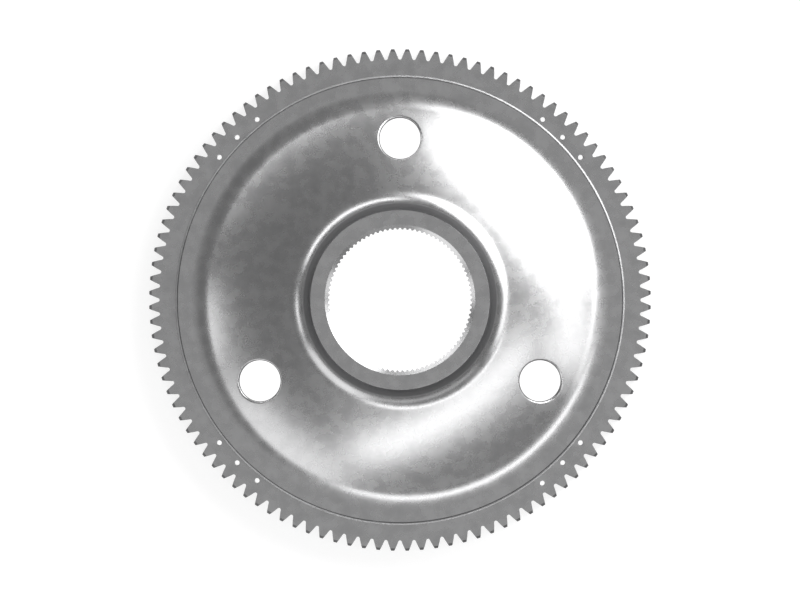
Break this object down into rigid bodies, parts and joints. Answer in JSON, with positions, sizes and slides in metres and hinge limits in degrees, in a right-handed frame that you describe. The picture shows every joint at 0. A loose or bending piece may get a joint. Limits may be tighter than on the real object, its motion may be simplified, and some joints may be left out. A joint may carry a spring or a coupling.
{
  "type": "reaction hub",
  "caption": "Round toothed reaction hub with a domed web, large web holes, small rim holes and a splined boss, which holds a ring gear still on its spindle.",
  "frame": {"origin": "on the axis, in the plane of the rim's back face, which the hub lies on", "axes": "+Z along the axis, from the rim's back face towards the boss's front face; +Y towards the first large hole"},
  "size_m": [0.7148, 0.7148, 0.1488],
  "materials": {
    "forged_steel": "satin machined steel with a faint cloudy mottle"
  },
  "bodies": {
    "root": {"reaction_hub": "forged_steel"}
  },
  "joints": []
}
